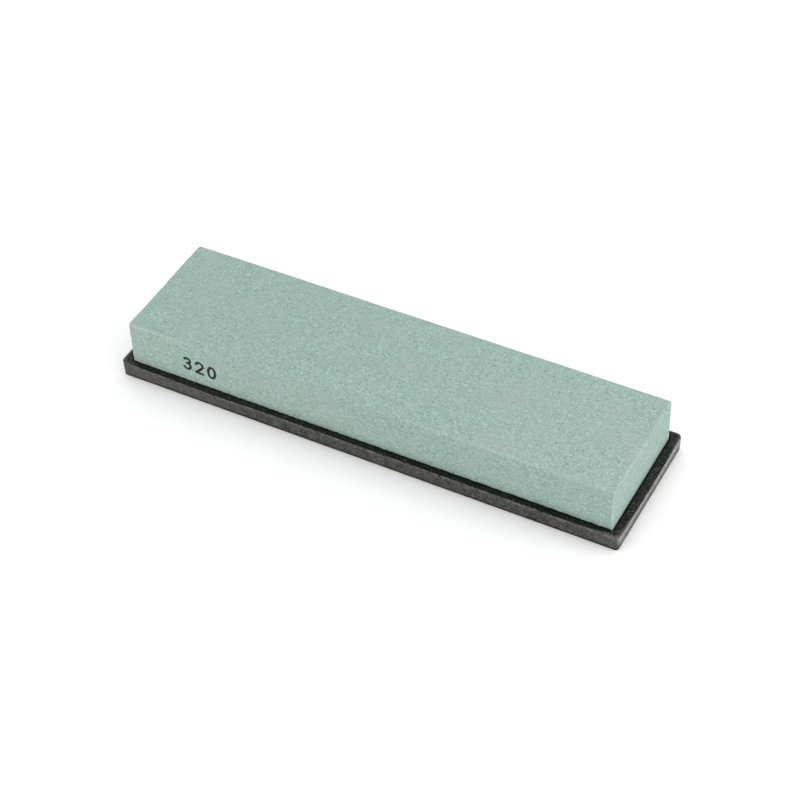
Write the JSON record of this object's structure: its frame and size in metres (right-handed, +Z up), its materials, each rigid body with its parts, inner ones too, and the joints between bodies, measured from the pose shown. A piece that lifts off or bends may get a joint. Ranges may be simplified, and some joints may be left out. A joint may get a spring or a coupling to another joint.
{
  "type": "bench whetstone",
  "caption": "Rectangular green silicon carbide bench whetstone seated loose in a shallow black rubber tray with a low rim, for sharpening carving tools by hand.",
  "frame": {"origin": "middle of the tray's underside, on the surface that the whetstone stands on", "axes": "+X along the stone's length, +Y across it away from the side with the printed grit number, +Z up out of the honing face"},
  "size_m": [0.2082, 0.0576, 0.0252],
  "materials": {
    "abrasive": "matt, fine open grain of green silicon carbide with paler and darker specks",
    "tray_rubber": "matt moulded black rubber, greyed on its outer walls",
    "ink": "matt black stamping ink, soaked into the grain"
  },
  "bodies": {
    "tray": {"rubber_tray": "tray_rubber"},
    "stone": {"abrasive_stone": "abrasive"}
  },
  "joints": [
    {"name": "stone_lift", "type": "slide", "parent": "tray", "child": "stone", "axis": [0, 0, 1], "range_m": [0, 0.03]}
  ]
}
